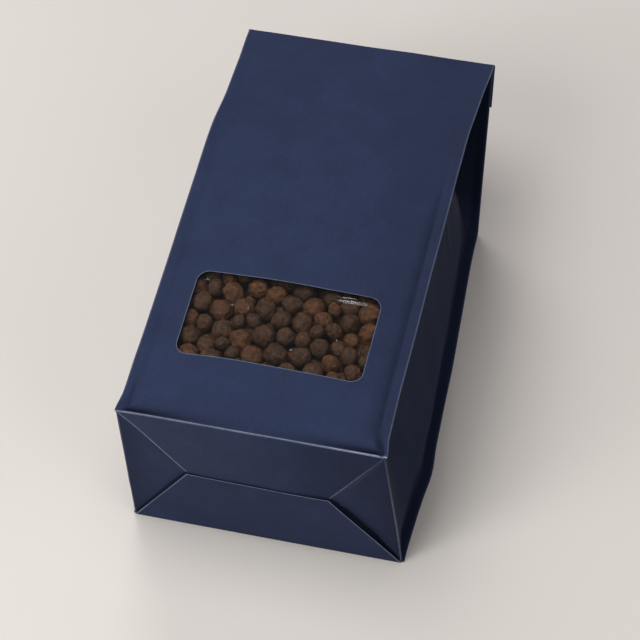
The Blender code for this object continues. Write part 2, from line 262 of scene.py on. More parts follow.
def panel_relief(x, s):
    """Height of the front panel over its fins: the crown of the fill, the pull of the folds and the corners' dents."""
    reach = front_half_width(s) - fin_width(s)
    share = np.clip(np.abs(x) / reach, 0.0, 1.0)
    crown = 0.0042 * ease(s, 0.0, 0.038) * (1 - ease(s, SHOULDER - 0.045, BACK_RISE))
    z = crown * (1 - share ** 2)
    # The groove beside each fin, where the seal ends
    groove = 0.0005 * np.exp(-((np.abs(x) - reach) / 0.0016) ** 2) * ease(s, 0.004, 0.03)
    z = z - groove * np.where(x < 0, 0.6, 1.0) * (1 - 0.9 * ease(s, 0.15, 0.20))
    # The paper sinks in behind the fold of the base, more so towards the corners, where it is pinched
    z = z - 0.0018 * pinch(x, s) - 0.0007 * np.exp(-((s - 0.0050) / 0.0042) ** 2)
    z = z + 0.00022 * ripple(x, s, 0.060, 3) * ease(s, 0.0, 0.03) * (1 - share ** 4)
    return z


def gusset_fold(s, t):
    """How deep the gusset is folded in, at a share t of its way from the front fin to the back fin."""
    half_gap = (front_height(s) - back_height(s)) / 2
    flat = np.sqrt(np.maximum((GUSSET / 2) ** 2 - half_gap ** 2, 0.0) + 0.006 ** 2) - 0.006
    turn = np.interp(t, (0.0, 0.5, 1.0), (0.1770, FILL_END, BACK_RISE))
    past = s - turn
    start = 0.31 * (past + np.sqrt(past ** 2 + 0.014 ** 2)) * ease(past, -0.040, 0.0)
    return np.maximum(flat, np.minimum(start, 0.030))


def fold_web(u, s):
    """Where a point of the flat web lies across the bag and in height, once the bag is folded and filled."""
    side = np.where(u < 0, -1.0, 1.0)
    u = np.abs(u)
    high, low = front_height(s), back_height(s)
    front, back = front_half_width(s), back_half_width(s)
    slim = 0.0007 * ease(s, 0.010, 0.050) - 0.0004 * ease(s, 0.10, 0.15) - 0.0002 * ease(s, 0.19, 0.25)
    front = front - slim * (side < 0)
    back = back + (0.0007 * ease(s, 0.10, 0.14) * (1 - ease(s, 0.17, 0.22)) + 0.0013 * np.exp(-((s - 0.060) / 0.013) ** 2)) * (side > 0)
    fin = fin_width(s)
    reach = front - fin

    knots = np.array([0, PANEL_END, FIN_EDGE, FIN_UNDER, GUSSET_START, GUSSET_CREASE, GUSSET_END,
                      BACK_FIN_EDGE, BACK_FIN_UNDER, BACK_START, BACK_MIDDLE])
    zone = np.clip(np.searchsorted(knots, u, side="right") - 1, 0, len(knots) - 2)
    t = (u - knots[zone]) / (knots[zone + 1] - knots[zone])

    x = np.zeros_like(u)
    z = np.zeros_like(u)
    curl = 0.00035 * ripple(s, side * 0.03, 0.075, 8) * ease(s, 0.01, 0.04)

    # The front panel
    m = zone == 0
    x[m] = (t * reach)[m]
    z[m] = (high + panel_relief(side * t * reach, s))[m]
    # The front fin: its upper side, its cut edge and its lower side
    m = zone == 1
    edge = reach + t * fin
    z[m] = (high + panel_relief(side * reach, s) * (1 - t) ** 2 + curl * t ** 2)[m]
    x[m] = edge[m]
    m = zone == 2
    x[m] = (front + np.sin(t * math.pi) * FIN_THICKNESS / 2)[m]
    z[m] = (high + curl - FIN_THICKNESS / 2 * (1 - np.cos(t * math.pi)))[m]
    m = zone == 3
    x[m] = (front - t * fin)[m]
    z[m] = (high - FIN_THICKNESS + curl * (1 - t) ** 2 - 0.0003 * t)[m]
    # The gusset
    share = np.where(zone == 4, t / 2, 0.5 + t / 2)
    tent = np.where(zone == 4, t, 1 - t)
    top_x, top_z = front - fin, high - FIN_THICKNESS - 0.0003
    foot_x, foot_z = back - fin, low + FIN_THICKNESS + 0.0003
    middle = 0.0385 + (0.0610 - 0.0385) * ease(s, 0.0, 0.035)
    middle = middle + ((low + high) / 2 - middle) * ease(s, FILL_END, BACK_RISE)
    line = back + (front - back) * (middle - low) / (high - low)
    out = 0.0064 * ease(s, 0.0, 0.035) * (1 - ease(s, 0.035, FILL_END))
    inward = gusset_fold(s, share)
    crease_x = line + out * (1 - ease(s, FILL_END, BACK_RISE))
    gx = np.where(zone == 4, top_x + (crease_x - top_x) * t, crease_x + (foot_x - crease_x) * t)
    gz = np.where(zone == 4, top_z + (middle - top_z) * t, middle + (foot_z - middle) * t)
    sag = 0.0016 * np.sin(np.pi * t) * ease(s, 0.0, 0.03)
    crinkle = 0.00035 * ripple(s, gz, 0.045, 12) * ease(s, 0.0, 0.02) * np.sin(np.pi * np.clip(t, 0, 1)) ** 0.5
    for start, end, rise in (((0.178, 0.112), (0.160, 0.068), 0.0008), ((0.190, 0.060), (0.172, 0.020), 0.0010)):
        far, run = along(s, gz, start, end)
        crinkle = crinkle + rise * np.exp(-(far / 0.0014) ** 2) * np.sin(np.pi * np.clip(run, 0.02, 0.98))
    m = (zone == 4) | (zone == 5)
    x[m] = (gx - sag - inward * tent + crinkle)[m]
    z[m] = gz[m]
    # The back fin
    m = zone == 6
    x[m] = (back - fin + t * fin)[m]
    z[m] = (low + FIN_THICKNESS + 0.0003 * (1 - t))[m]
    m = zone == 7
    x[m] = (back + np.sin(t * math.pi) * FIN_THICKNESS / 2)[m]
    z[m] = (low + FIN_THICKNESS / 2 * (1 + np.cos(t * math.pi)))[m]
    m = zone == 8
    x[m] = (back - t * fin)[m]
    z[m] = low[m]
    # The back panel
    m = zone == 9
    x[m] = ((back - fin) * (1 - t))[m]
    z[m] = (low + 0.0006 * ease(s, BACK_RISE, BACK_RISE + 0.02) * np.sin(np.pi * t / 2))[m]

    # The folds round into the base
    turned = np.clip(s / FOLD_RADIUS, 0.0, 1.0)
    inset = FOLD_RADIUS * (1 - np.sqrt(1 - (1 - turned) ** 2))
    x = x * (1 - inset / (WIDTH / 2))
    z = DEPTH / 2 + (z - DEPTH / 2) * (1 - inset / (DEPTH / 2))
    return pull_out(side * x, s, z)


def pull_out(x, s, z):
    """The left side stands out at the base end, and its upper corner droops a little."""
    near = np.clip(-x / (WIDTH / 2), 0, 1) ** 4 * (1 - ease(s, 0.0, 0.020))
    droop = 0.0012 * near ** 3 * np.exp(-((DEPTH - z) / 0.012) ** 2)
    return x - (0.0009 + 0.0006 * (1 - z / DEPTH)) * near, z - droop


def steps(start, end, step):
    """Evenly spread values from start up to but without end."""
    count = max(round((end - start) / step), 1)
    return [start + (end - start) * i / count for i in range(count)]


half = steps(0, PANEL_END - 0.009, 0.0016) + steps(PANEL_END - 0.009, FIN_EDGE, 0.0006)
half += steps(FIN_EDGE, FIN_UNDER, 0.0002) + steps(FIN_UNDER, GUSSET_START, 0.0014)
half += steps(GUSSET_START, GUSSET_CREASE - 0.003, 0.0018) + steps(GUSSET_CREASE - 0.003, GUSSET_CREASE, 0.0006)
half += steps(GUSSET_CREASE, GUSSET_CREASE + 0.003, 0.0006) + steps(GUSSET_CREASE + 0.003, GUSSET_END, 0.0018)
half += steps(GUSSET_END, BACK_FIN_EDGE, 0.0011) + steps(BACK_FIN_EDGE, BACK_FIN_UNDER, 0.0003)
half += steps(BACK_FIN_UNDER, BACK_START, 0.0018) + steps(BACK_START, BACK_MIDDLE, 0.0035) + [BACK_MIDDLE]
across = np.array([-u for u in reversed(half)] + half[1:])
rows = steps(0, 0.0012, 0.0002) + steps(0.0012, 0.026, 0.0008) + steps(0.026, LENGTH - 0.0006, 0.0018)
rows = np.array(rows + [LENGTH + 0.0002])

clear_selection()
bpy.ops.mesh.primitive_grid_add(x_subdivisions=len(across) - 1, y_subdivisions=len(rows) - 1, size=1)
bag = bpy.context.object
bag.name = "bag_web"
flat = np.empty(len(bag.data.vertices) * 3)
bag.data.vertices.foreach_get("co", flat)
flat = flat.reshape(-1, 3)
column = np.rint((flat[:, 0] + 0.5) * (len(across) - 1)).astype(int)
row = np.rint((flat[:, 1] + 0.5) * (len(rows) - 1)).astype(int)
flat[:, 0] = across[column]
flat[:, 1] = rows[row]
bag.data.vertices.foreach_set("co", flat.ravel())

# The window is cut with straight strokes along its sides and short ones round its corners
stretch = PANEL_END / (front_half_width(0.06) - FIN)
cut_middle = (CUT_SHIFT * stretch, CUT_START + CUT_LENGTH / 2)
cut_half = (CUT_WIDTH / 2 * stretch, CUT_LENGTH / 2)


def outside_cut(x, y, grow=0.0):
    """How far points lie outside the window's rounded outline."""
    qx = np.abs(x - cut_middle[0]) - (cut_half[0] - CUT_RADIUS)
    qy = np.abs(y - cut_middle[1]) - (cut_half[1] - CUT_RADIUS)
    corner = np.hypot(np.maximum(qx, 0), np.maximum(qy, 0))
    return corner + np.minimum(np.maximum(qx, qy), 0) - CUT_RADIUS - grow


strokes = []
for sx, sy, start in ((1, 1, 0), (-1, 1, 1), (-1, -1, 2), (1, -1, 3)):
    for step in range(9):
        angle = math.pi / 2 * (start + step / 8)
        strokes.append((sx, sy, math.cos(angle), math.sin(angle)))

bpy.ops.object.mode_set(mode="EDIT")
bpy.ops.mesh.select_mode(type="FACE")
for grow in (0.0, 0.0005):
    for sx, sy, nx, ny in strokes:
        bpy.ops.mesh.select_all(action="DESELECT")
        bm = bmesh.from_edit_mesh(bag.data)
        centre = (cut_middle[0] + sx * (cut_half[0] - CUT_RADIUS), cut_middle[1] + sy * (cut_half[1] - CUT_RADIUS))
        point = (centre[0] + nx * (CUT_RADIUS + grow), centre[1] + ny * (CUT_RADIUS + grow), 0)
        straight = abs(nx) < 0.01 or abs(ny) < 0.01
        reach_x = cut_half[0] if abs(nx) < 0.01 else 0.0026
        reach_y = cut_half[1] if abs(ny) < 0.01 else 0.0026
        for face in bm.faces:
            middle = face.calc_center_median()
            if abs(middle.x - point[0]) > 2 * reach_x or abs(middle.y - point[1]) > 2 * reach_y:
                continue
            touching = min(abs((v.co.x - point[0]) * nx + (v.co.y - point[1]) * ny) for v in face.verts) < 0.002
            if touching and abs(middle.x) < PANEL_END:
                side_x = (middle.x - centre[0]) * sx
                side_y = (middle.y - centre[1]) * sy
                if straight and abs(nx) < 0.01 and side_x < 0.0005:
                    face.select = True
                elif straight and abs(ny) < 0.01 and side_y < 0.0005:
                    face.select = True
                elif abs(middle.x - point[0]) < 0.0021 and abs(middle.y - point[1]) < 0.0021:
                    face.select = True
        bmesh.update_edit_mesh(bag.data)
        bpy.ops.mesh.bisect(plane_co=point, plane_no=(nx, ny, 0))
bpy.ops.mesh.select_all(action="DESELECT")
bm = bmesh.from_edit_mesh(bag.data)
for face in bm.faces:
    middle = face.calc_center_median()
    face.select = bool(outside_cut(middle.x, middle.y) < 0) and abs(middle.x) < PANEL_END
bmesh.update_edit_mesh(bag.data)
bpy.ops.mesh.delete(type="FACE")
bpy.ops.object.mode_set(mode="OBJECT")

# Folding the sheet
count = len(bag.data.vertices)
flat = np.empty(count * 3)
bag.data.vertices.foreach_get("co", flat)
flat = flat.reshape(-1, 3)
u, s = flat[:, 0].copy(), flat[:, 1].copy()
x, z = fold_web(u, s)
bag.data.vertices.foreach_set("co", np.stack([x, s - LENGTH / 2, z], axis=1).ravel())

# Paler where folds and cut edges have rubbed, and painted highlights where they catch the light: the tips of the
# fins, the fold into the base, the window's edge and a painted glint at the lower right corner
wear_and_painted_light = 0.22 * np.exp(-((np.abs(u) - FIN_EDGE - 0.0001) / 0.00035) ** 2)
wear_and_painted_light = np.maximum(wear_and_painted_light, 0.4 * np.exp(-((np.abs(u) - BACK_FIN_UNDER) / 0.0005) ** 2))
fold = np.clip((0.0007 - s) / 0.0003, 0, 1) * (0.66 + 0.5 * ease(u, 0.020, 0.072))
wear_and_painted_light = np.maximum(wear_and_painted_light, np.where(np.abs(u) < FIN_UNDER, fold, 0.55 * np.clip((0.0008 - s) / 0.0003, 0, 1)))
wear_and_painted_light = np.maximum(wear_and_painted_light, 0.50 * np.clip(1 - outside_cut(u, s) / 0.0005, 0, 1))
wear_and_painted_light = np.maximum(wear_and_painted_light, 1.4 * np.exp(-(np.hypot(x - WIDTH / 2 + 0.0016, s) / 0.0009) ** 2) * (np.abs(u) < FIN_UNDER))
wear_and_light_layer = bag.data.attributes.new("wear_and_painted_light", "FLOAT", "POINT")
wear_and_light_layer.data.foreach_set("value", wear_and_painted_light)

# Painted shade, darkening the ink where shade falls: the pinched corners, the groove beside each fin, the right
# part of the panel and the gussets, most of all where they fold in at the top, and a painted shadow under the right fin
far = np.abs(u) - PANEL_END + 0.0010
groove = np.where(u > 0, 0.36 * np.exp(-(far / np.where(far < 0, 0.0060, 0.0022)) ** 2), 0.14 * np.exp(-(far / 0.0020) ** 2))
groove = np.where(u > 0, np.maximum(groove, 0.20 * (far > 0)), groove) * ease(s, 0.004, 0.02) * (1 - 0.8 * ease(s, 0.14, 0.20))
groove = np.maximum(groove, 0.13 * ease(u, 0.010, 0.060) * ease(s, 0.03, 0.07))
shade = np.where(np.abs(u) < FIN_EDGE - 0.0004, np.maximum(0.95 * np.clip(pinch(x, s), 0, 1), groove), 0)
inner = (np.abs(u) > FIN_UNDER) & (np.abs(u) < BACK_FIN_EDGE)
shade = np.maximum(shade, 0.42 * inner)
turn = np.interp(np.abs(u), (GUSSET_START, GUSSET_CREASE, GUSSET_END), (0.182, FILL_END + 0.004, BACK_RISE))
shade = np.maximum(shade, 0.80 * inner * ease(s - turn, -0.012, 0.016))
shade = np.maximum(shade, 0.7 * (u > FIN_UNDER) * inner * np.exp(-((u - GUSSET_START) / 0.0020) ** 2))
painted_shade_layer = bag.data.attributes.new("shade", "FLOAT", "POINT")
painted_shade_layer.data.foreach_set("value", shade)

bag.data.shade_smooth()
bpy.context.view_layer.objects.active = bag
bag.select_set(True)
bpy.ops.object.mode_set(mode="EDIT")
bpy.ops.mesh.select_all(action="SELECT")
bpy.ops.mesh.remove_doubles(threshold=0.00001)
bpy.ops.mesh.normals_make_consistent(inside=False)
bpy.ops.object.mode_set(mode="OBJECT")

PAPER_NAVY = "#262e47"
PAPER_LIGHT = "#2b3450"
# The pale of rubbed folds and of painted highlights, then the dark of painted shade
PAPER_WORN_OR_LIT = "#9aa1b7"
PAPER_PAINTED_SHADE = "#060a18"


def paper(name, navy, light, worn_or_lit_colour, deep):
    """Matt laminated kraft paper: an even navy ink with a faint fibre mottle, paler where folds have rubbed and
    where highlights are painted on, and darker towards deep where shade is painted on."""
    material, tree, shader = new_material(name)
    place = add(tree, "ShaderNodeTexCoord").outputs["Object"]
    fibre = add(tree, "ShaderNodeTexNoise", Vector=place, Scale=620.0, Detail=4.0, Roughness=0.65)
    mottle = add(tree, "ShaderNodeTexNoise", Vector=place, Scale=55.0, Detail=3.0)
    both = add(tree, "ShaderNodeMath", {"operation": "ADD"}, _0=fibre.outputs["Fac"], _1=mottle.outputs["Fac"])
    share = add(tree, "ShaderNodeMapRange", Value=both.outputs[0], From_Min=0.75, From_Max=1.25)
    ink = add(tree, "ShaderNodeMix", {"data_type": "RGBA"}, Factor=share.outputs[0])
    ink.inputs[6].default_value = linear(navy)
    ink.inputs[7].default_value = linear(light)
    # Paler where the paper has rubbed, and painted highlights along edges and folds
    rub_and_light = add(tree, "ShaderNodeAttribute", {"attribute_name": "wear_and_painted_light"})
    chafe = add(tree, "ShaderNodeTexNoise", Vector=place, Scale=260.0, Detail=3.0)
    uneven = add(tree, "ShaderNodeMapRange", Value=chafe.outputs["Fac"], From_Min=0.3, From_Max=0.6, To_Min=0.7, To_Max=1.0)
    rubbed = add(tree, "ShaderNodeMath", {"operation": "MULTIPLY"}, _0=rub_and_light.outputs["Fac"], _1=uneven.outputs[0])
    colour = add(tree, "ShaderNodeMix", {"data_type": "RGBA"}, Factor=rubbed.outputs[0])
    tree.links.new(ink.outputs[2], colour.inputs[6])
    colour.inputs[7].default_value = linear(worn_or_lit_colour)
    # Painted shade, mixed in towards the deep colour
    crease = add(tree, "ShaderNodeAttribute", {"attribute_name": "shade"})
    whole = add(tree, "ShaderNodeMix", {"data_type": "RGBA"}, Factor=crease.outputs["Fac"])
    tree.links.new(colour.outputs[2], whole.inputs[6])
    whole.inputs[7].default_value = linear(deep)
    tree.links.new(whole.outputs[2], shader.inputs["Base Color"])
    gloss = add(tree, "ShaderNodeMapRange", Value=mottle.outputs["Fac"], To_Min=0.76, To_Max=0.86)
    tree.links.new(gloss.outputs[0], shader.inputs["Roughness"])
    grain = add(tree, "ShaderNodeBump", Height=fibre.outputs["Fac"], Strength=0.10, Distance=0.0002)
    tree.links.new(grain.outputs["Normal"], shader.inputs["Normal"])
    shader.inputs["IOR"].default_value = 1.5
    shader.inputs["Specular IOR Level"].default_value = 0.10
    return material


navy_paper = paper("matt_laminated_navy_paper", PAPER_NAVY, PAPER_LIGHT, PAPER_WORN_OR_LIT, PAPER_PAINTED_SHADE)
bag.data.materials.append(navy_paper)
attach(bag, "root")
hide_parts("bag")

# The block bottom
# The end of the tube is folded square and glued: the upper flap is creased down, with a tucked triangle at
# each side of it, and the lower flap is folded up over both. Its free edge shows the cut paper, with a painted
# highlight.
BASE_Y = -LENGTH / 2
BASE_HALF = WIDTH / 2
BASE_FOOT = WIDTH / 2 + 0.0042
TIP_LEFT = (-0.0409, DEPTH / 2 + 0.0056)
TIP_RIGHT = (0.0404, DEPTH / 2 + 0.0044)
CREASE_WIDTH = 0.00045

corner_top = {side: (side * (BASE_HALF - 0.0005), DEPTH - 0.0005) for side in (-1, 1)}
corner_foot = {side: (side * (BASE_FOOT - 0.0005), 0.0005) for side in (-1, 1)}
flap_tip = {-1: TIP_LEFT, 1: TIP_RIGHT}

columns = steps(-1, -0.975, 0.008) + steps(-0.975, 0.975, 0.0175) + steps(0.975, 1, 0.008) + [1]
clear_selection()
bpy.ops.mesh.primitive_grid_add(x_subdivisions=len(columns) - 1, y_subdivisions=84, size=1)
base = bpy.context.object
base.name = "base_folds"
for vertex in base.data.vertices:
    height = (vertex.co.y + 0.5) * (DEPTH - 0.0012) + 0.0006
    reach = BASE_FOOT + (BASE_HALF - BASE_FOOT) * height / DEPTH - 0.0006
    vertex.co = (columns[round((vertex.co.x + 0.5) * (len(columns) - 1))] * reach, height, 0)

# Strokes along the creases beside the upper flap, and along the slots where the lower flap's ends lie
bpy.ops.object.mode_set(mode="EDIT")
for side in (-1, 1):
    for start, offsets in (
        (corner_top[side], (-3.4, -2, -1, 0, 1, 2)),
        (corner_foot[side], (0, 1.2, 2.4, 4.2)),
    ):
        start, end = Vector((*start, 0)), Vector((*flap_tip[side], 0))
        cross = (end - start).normalized().cross(Vector((0, 0, 1)))
        if (cross.x > 0) != (side > 0):
            cross = -cross
        for offset in offsets:
            bpy.ops.mesh.select_all(action="DESELECT")
            bm = bmesh.from_edit_mesh(base.data)
            for face in bm.faces:
                middle = face.calc_center_median()
                far, run = along(middle.x, middle.y, tuple(start.xy), tuple(end.xy))
                face.select = bool(far < 0.0040)
            bmesh.update_edit_mesh(base.data)
            bpy.ops.mesh.bisect(plane_co=start + cross * offset * CREASE_WIDTH, plane_no=cross)
bpy.ops.object.mode_set(mode="OBJECT")

count = len(base.data.vertices)
flat = np.empty(count * 3)
base.data.vertices.foreach_get("co", flat)
flat = flat.reshape(-1, 3)
x, z = flat[:, 0].copy(), flat[:, 1].copy()
sunk = np.zeros(count)
wear_and_painted_light = np.zeros(count)
shade = np.zeros(count)
upper = np.ones(count, bool)
for side in (-1, 1):
    right = side > 0
    crease, run = along(x, z, corner_top[side], flap_tip[side])
    start, end = np.array(corner_top[side]), np.array(flap_tip[side])
    across_crease = side * ((end[0] - start[0]) * (z - start[1]) - (end[1] - start[1]) * (x - start[0]))
    inside = across_crease > 0
    edge, _ = along(x, z, corner_top[side], corner_foot[side])
    hem, share = along(x, z, flap_tip[side], corner_foot[side])
    deep = (0.0016 + 0.0006 * right) * ease(edge, 0.0, 0.016) * ease(crease, 0.0, 0.020)
    slot = 0.0010 * np.exp(-(hem / 0.006) ** 2)
    deep = np.maximum(deep, slot * ease(edge, 0, 0.006) * ease(crease, 0, 0.006))
    sunk += np.where(inside, deep, 0.0)
    sunk -= 0.00025 * np.exp(-(crease / CREASE_WIDTH) ** 2)
    # A painted highlight along each crease, partly rubbed paper, and a furrow of painted shade beside it
    line = (0.55 - 0.15 * right) * np.clip(1.35 - crease / CREASE_WIDTH, 0, 1)
    wear_and_painted_light = np.maximum(wear_and_painted_light, line)
    if right:
        # The right crease has a second painted highlight beside it, where the ply below turns
        second = np.exp(-((crease / CREASE_WIDTH - 3.4) / 0.9) ** 2) * inside
        wear_and_painted_light = np.maximum(wear_and_painted_light, 0.20 * second * ease(run, 0.02, 0.10) * (1 - ease(run, 0.55, 0.95)))
        shade = np.maximum(shade, 0.45 * np.exp(-((crease / CREASE_WIDTH - 2.0) / 0.8) ** 2) * inside)
    else:
        shade = np.maximum(shade, 0.30 * np.exp(-((crease / CREASE_WIDTH - 2.0) / 0.9) ** 2) * inside)
    # A painted shadow in the slot under each slanted end of the lower flap
    width = CREASE_WIDTH * 1.2
    shade = np.maximum(shade, np.where(inside | (crease < 0.001), np.clip(1.35 * (1.15 - hem / width), 0, 1), 0))
    # A painted highlight along the side fold, partly rubbed paper
    wear_and_painted_light = np.maximum(wear_and_painted_light, 0.42 * np.clip(1.2 - edge / 0.0006, 0, 1))
    # The tucked triangles get painted shade, darkest along their outer folds
    tucked = 0.48 * np.exp(-(edge / 0.018) ** 2) if right else 0.28 * np.exp(-(edge / 0.010) ** 2)
    shade = np.maximum(shade, tucked * inside)
    upper = upper & ~inside
# The upper flap gets a little painted light to the left and painted shade to the right
wear_and_painted_light = np.maximum(wear_and_painted_light, 0.026 * upper * (1 - ease(x, -0.070, 0.050)))
shade = np.maximum(shade, 0.34 * upper * ease(x, 0.005, 0.060))
sunk += 0.00030 * ripple(x, z, 0.050, 21) * ease(DEPTH - z, 0.0, 0.010) * ease(BASE_HALF - np.abs(x), 0.0, 0.012)
sunk -= 0.0024 * (1 - (x / BASE_HALF) ** 2) * np.sin(np.pi * np.clip(z / DEPTH, 0, 1))
out_x, out_z = pull_out(x, 0.0, z)
base.data.vertices.foreach_set("co", np.stack([out_x, BASE_Y + 0.00012 + sunk, out_z], axis=1).ravel())
wear_and_light_layer = base.data.attributes.new("wear_and_painted_light", "FLOAT", "POINT")
wear_and_light_layer.data.foreach_set("value", wear_and_painted_light * (1 - shade))
painted_shade_layer = base.data.attributes.new("shade", "FLOAT", "POINT")
painted_shade_layer.data.foreach_set("value", shade)
bpy.ops.object.mode_set(mode="EDIT")
bpy.ops.mesh.select_all(action="SELECT")
bpy.ops.mesh.flip_normals()
bpy.ops.object.mode_set(mode="OBJECT")
base.data.shade_smooth()
base.data.materials.append(navy_paper)
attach(base, "root")

# The lower flap is its own ply in front, a little lifted along its slanted ends
columns = steps(-1, -0.98, 0.006) + steps(-0.98, 0.98, 0.0175) + steps(0.98, 1, 0.006) + [1]
levels = steps(0, 0.975, 0.022) + steps(0.975, 1, 0.006) + [1]
clear_selection()
bpy.ops.mesh.primitive_grid_add(x_subdivisions=len(columns) - 1, y_subdivisions=len(levels) - 1, size=1)
flap = bpy.context.object
flap.name = "lower_flap"
count = len(flap.data.vertices)
flat = np.empty(count * 3)
flap.data.vertices.foreach_get("co", flat)
flat = flat.reshape(-1, 3)
p = np.array(columns)[np.rint((flat[:, 0] + 0.5) * (len(columns) - 1)).astype(int)]
q = np.array(levels)[np.rint((flat[:, 1] + 0.5) * (len(levels) - 1)).astype(int)]
foot = BASE_FOOT - 0.0012
left, right = -foot + (TIP_LEFT[0] + foot) * q, foot + (TIP_RIGHT[0] - foot) * q
x = left + (right - left) * (p + 1) / 2
z = 0.0009 + q * (TIP_LEFT[1] + (TIP_RIGHT[1] - TIP_LEFT[1]) * (p + 1) / 2 - 0.0009)
lift = 0.0002 * np.abs(p) ** 6 * ease(q, 0.0, 0.3) + 0.0002 * q ** 3
lift = lift + 0.0003 * np.clip(p, 0, 1) ** 8 * np.sin(np.pi * np.clip(q, 0, 1)) ** 0.8
lift = lift + 0.00022 * ripple(x, z, 0.055, 33) * ease(q, 0.0, 0.2)
bulge = 0.0025 * (1 - (x / BASE_HALF) ** 2) * np.sin(np.pi * np.clip(z / DEPTH, 0, 1))
out_x, out_z = pull_out(x, 0.0, z)
flap.data.vertices.foreach_set("co", np.stack([out_x, BASE_Y - 0.00035 - lift - bulge, out_z], axis=1).ravel())
bpy.ops.object.mode_set(mode="EDIT")
bpy.ops.mesh.select_all(action="SELECT")
bpy.ops.mesh.flip_normals()
bpy.ops.object.mode_set(mode="OBJECT")
thick = flap.modifiers.new("ply", "SOLIDIFY")
thick.thickness = 0.0003
thick.offset = -1
bpy.ops.object.modifier_apply(modifier="ply")
soften = flap.modifiers.new("edge", "BEVEL")
soften.width = 0.0001
soften.segments = 2
soften.limit_method = "ANGLE"
soften.angle_limit = math.radians(50)
bpy.ops.object.modifier_apply(modifier="edge")
count = len(flap.data.vertices)
flat = np.empty(count * 3)
flap.data.vertices.foreach_get("co", flat)
flat = flat.reshape(-1, 3)
free, _ = along(flat[:, 0], flat[:, 2], TIP_LEFT, TIP_RIGHT)
for side in (-1, 1):
    hem, _ = along(flat[:, 0], flat[:, 2], *(pull_out(px, 0.0, pz) for px, pz in (flap_tip[side], (side * foot, 0.0009))))
    free = np.minimum(free, np.maximum(hem - 0.0003, 0))
# A pale line along the flap's free edges: the cut paper, with a painted highlight
wear_and_light_layer = flap.data.attributes.new("wear_and_painted_light", "FLOAT", "POINT")
line = 0.50 * np.clip(1.1 - free / 0.0003, 0, 1)
wear_and_light_layer.data.foreach_set("value", line)
flap.data.shade_smooth()
flap.data.materials.append(navy_paper)
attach(flap, "root")

# The folded top
# Above the fill the bag is sealed flat and folded over to the back, so two thick plies hang down behind it.
TOP_FLAP = 0.0262
TURN_RADIUS = 0.0012
front_slope = math.atan((front_height(0.19) - TOP_HEIGHT) / (LENGTH - SHOULDER))
plies = []
for number, (drop, depth, narrow) in enumerate(((TOP_FLAP, 0.0, 0.0), (TOP_FLAP - 0.0040, 0.0007, 0.0005))):
    path = []
    y, z = LENGTH / 2 - 0.0004, float(front_height(LENGTH)) - depth
    heading = -front_slope
    turn = math.radians(180) - BACK_SLOPE - front_slope
    path.append((y, z))
    for step in range(8):
        heading -= turn / 8
        length = (TURN_RADIUS - depth) * turn / 8
        y, z = y + math.cos(heading) * length, z + math.sin(heading) * length
        path.append((y, z))
    down = 24
    for step in range(down):
        y, z = y + math.cos(heading) * drop / down, z + math.sin(heading) * drop / down
        path.append((y, z))
    clear_selection()
    bpy.ops.mesh.primitive_grid_add(x_subdivisions=60, y_subdivisions=len(path) - 1, size=1)
    ply = bpy.context.object
    ply.name = ("top_flap_outer", "top_flap_inner")[number]
    for vertex in ply.data.vertices:
        y, z = path[round((vertex.co.y + 0.5) * (len(path) - 1))]
        x = vertex.co.x * (WIDTH + 0.0014 - 2 * narrow)
        hang = round((vertex.co.y + 0.5) * (len(path) - 1)) / (len(path) - 1)
        y -= 0.0005 * hang * float(ripple(x, hang * 0.03, 0.09, 40 + number))
        vertex.co = (x, y, z)
    thick = ply.modifiers.new("ply", "SOLIDIFY")
    thick.thickness = 0.0006
    thick.offset = -1
    bpy.ops.object.modifier_apply(modifier="ply")
    soften = ply.modifiers.new("edge", "BEVEL")
    soften.width = 0.0002
    soften.segments = 2
    soften.limit_method = "ANGLE"
    soften.angle_limit = math.radians(50)
    bpy.ops.object.modifier_apply(modifier="edge")
    ply.data.shade_smooth()
    ply.data.materials.append(navy_paper)
    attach(ply, "root")

# The kibble
# Baked dry kibble, extruded and tumbled to rough round pieces of mixed sizes. Under the window each piece is
# its own, pressed against the film; below them lies a bed of more.
KIBBLE_SIZES = (0.0135, 0.0128, 0.0120, 0.0112, 0.0100, 0.0086, 0.0068)
KIBBLE_SHARES = (0.16, 0.22, 0.22, 0.16, 0.12, 0.08, 0.04)
KIBBLE_COUNT = 190
KIBBLE_NEAR = 0.0070
BOX_HALF = (CUT_WIDTH / 2 + 0.006, CUT_LENGTH / 2 + 0.006)
BOX_DEPTH = 0.026

chance = np.random.RandomState(11)
radius = chance.choice(KIBBLE_SIZES, KIBBLE_COUNT, p=KIBBLE_SHARES) / 2
spot = np.stack([
    chance.uniform(-BOX_HALF[0], BOX_HALF[0], KIBBLE_COUNT),
    chance.uniform(-BOX_HALF[1], BOX_HALF[1], KIBBLE_COUNT),
    chance.uniform(-BOX_DEPTH, 0, KIBBLE_COUNT),
], axis=1)
for step in range(500):
    gap = spot[:, None] - spot[None]
    far = np.sqrt((gap ** 2).sum(2)) + np.eye(KIBBLE_COUNT)
    over = np.maximum((radius[:, None] + radius[None]) * 0.97 - far, 0) * (1 - np.eye(KIBBLE_COUNT))
    spot = spot + (gap / far[..., None] * over[..., None]).sum(1) * 0.35
    spot[:, 2] += 0.00004 if step < 420 else 0.0
    spot[:, 0] = np.clip(spot[:, 0], -BOX_HALF[0], BOX_HALF[0])
    spot[:, 1] = np.clip(spot[:, 1], -BOX_HALF[1], BOX_HALF[1])
    spot[:, 2] = np.clip(spot[:, 2], -BOX_DEPTH, -radius)

# The pieces near the film are modelled finely, and those below them, seen only through the gaps, coarsely
balls = []
for fineness in (4, 3):
    clear_selection()
    bpy.ops.mesh.primitive_ico_sphere_add(subdivisions=fineness, radius=1.0)
    balls.append(bpy.context.object)


def lumps(points, waves, seed):
    """Rounded lumps and hollows of about one over a ball, from a few waves across it."""
    pick = np.random.RandomState(seed)
    total = np.zeros(len(points))
    for _ in range(9):
        direction = pick.normal(size=3)
        direction /= np.linalg.norm(direction)
        total += np.sin(points @ direction * waves * pick.uniform(0.6, 1.4) + pick.uniform(0, math.tau))
    return total / 3.0


